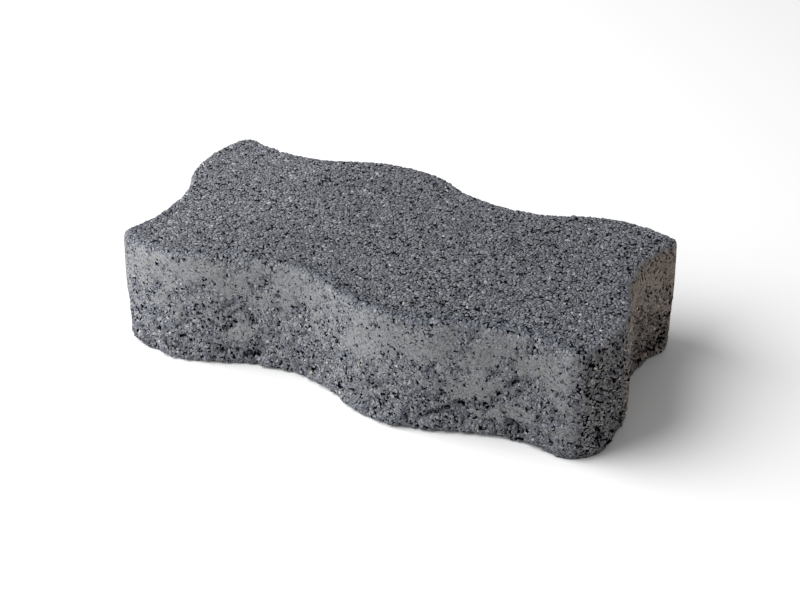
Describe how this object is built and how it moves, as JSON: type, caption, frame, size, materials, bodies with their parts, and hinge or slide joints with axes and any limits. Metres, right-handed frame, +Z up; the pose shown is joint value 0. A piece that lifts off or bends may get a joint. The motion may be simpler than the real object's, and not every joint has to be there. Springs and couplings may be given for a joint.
{
  "type": "concrete paving stone",
  "caption": "Grey pressed concrete paving stone, a wavy-sided oblong block whose sides interlock with its neighbours, with a granular wearing face.",
  "frame": {"origin": "centre of the bedding face, on the ground", "axes": "+Z up through the wearing face; +X along the length of the stone; +Y across it"},
  "size_m": [0.263, 0.138, 0.06],
  "materials": {
    "pressed_concrete": "rough pressed grey concrete with fine chippings"
  },
  "bodies": {
    "root": {"paving_stone": "pressed_concrete"}
  },
  "joints": []
}
